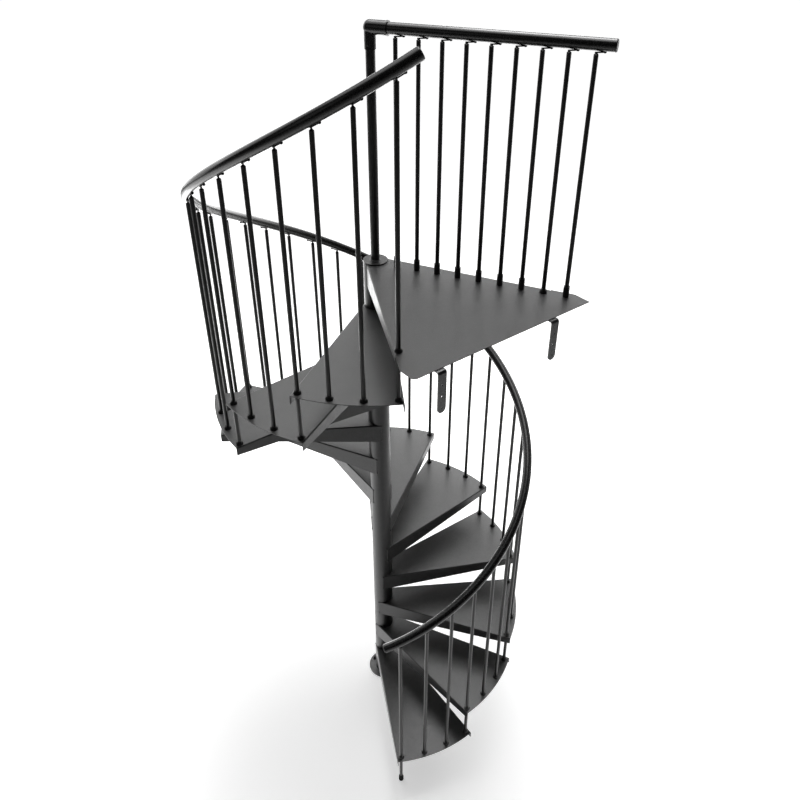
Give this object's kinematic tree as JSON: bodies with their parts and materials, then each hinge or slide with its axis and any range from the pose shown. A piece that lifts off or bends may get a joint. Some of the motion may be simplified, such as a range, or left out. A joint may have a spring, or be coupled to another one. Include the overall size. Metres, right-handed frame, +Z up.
{
  "type": "spiral staircase",
  "caption": "Steel spiral staircase kit: folded treads on a central column, balusters, round spiral handrail and a triangular landing with its own rail.",
  "frame": {"origin": "axis of the central column where the base plate meets the floor", "axes": "+Z up the column; -Y towards the wall or floor edge that the landing's brackets bolt to; the stair climbs counter-clockwise seen from above"},
  "size_m": [1.6, 1.67, 3.9651],
  "materials": {
    "tread_coat": "fine textured powder coat, satin black",
    "frame_coat": "satin black powder coat",
    "baluster_coat": "semi-gloss black powder coat",
    "rail_coat": "glossy black",
    "cap_plastic": "matte black",
    "foot_rubber": "matte black"
  },
  "bodies": {
    "root": {"tread_01": "tread_coat", "tread_02": "tread_coat", "tread_03": "tread_coat", "tread_04": "tread_coat", "tread_05": "tread_coat", "tread_06": "tread_coat", "tread_07": "tread_coat", "tread_08": "tread_coat", "tread_09": "tread_coat", "tread_10": "tread_coat", "tread_11": "tread_coat", "tread_12": "tread_coat", "landing_plate": "tread_coat", "base_plate": "frame_coat", "centre_pole": "frame_coat", "spacer_tubes": "frame_coat", "top_disc": "frame_coat", "newel_post": "frame_coat", "wall_bracket_left": "frame_coat", "wall_bracket_right": "frame_coat", "corner_balusters": "baluster_coat", "middle_balusters": "baluster_coat", "baluster_collars": "baluster_coat", "rail_clips": "baluster_coat", "landing_balusters": "baluster_coat", "landing_sleeves": "baluster_coat", "landing_collar": "baluster_coat", "landing_rail_clips": "baluster_coat", "rail_elbow": "rail_coat", "landing_rail": "rail_coat", "spiral_rail": "rail_coat", "landing_rail_cap": "cap_plastic", "spiral_rail_caps": "cap_plastic", "leg_foot": "foot_rubber"}
  },
  "joints": []
}
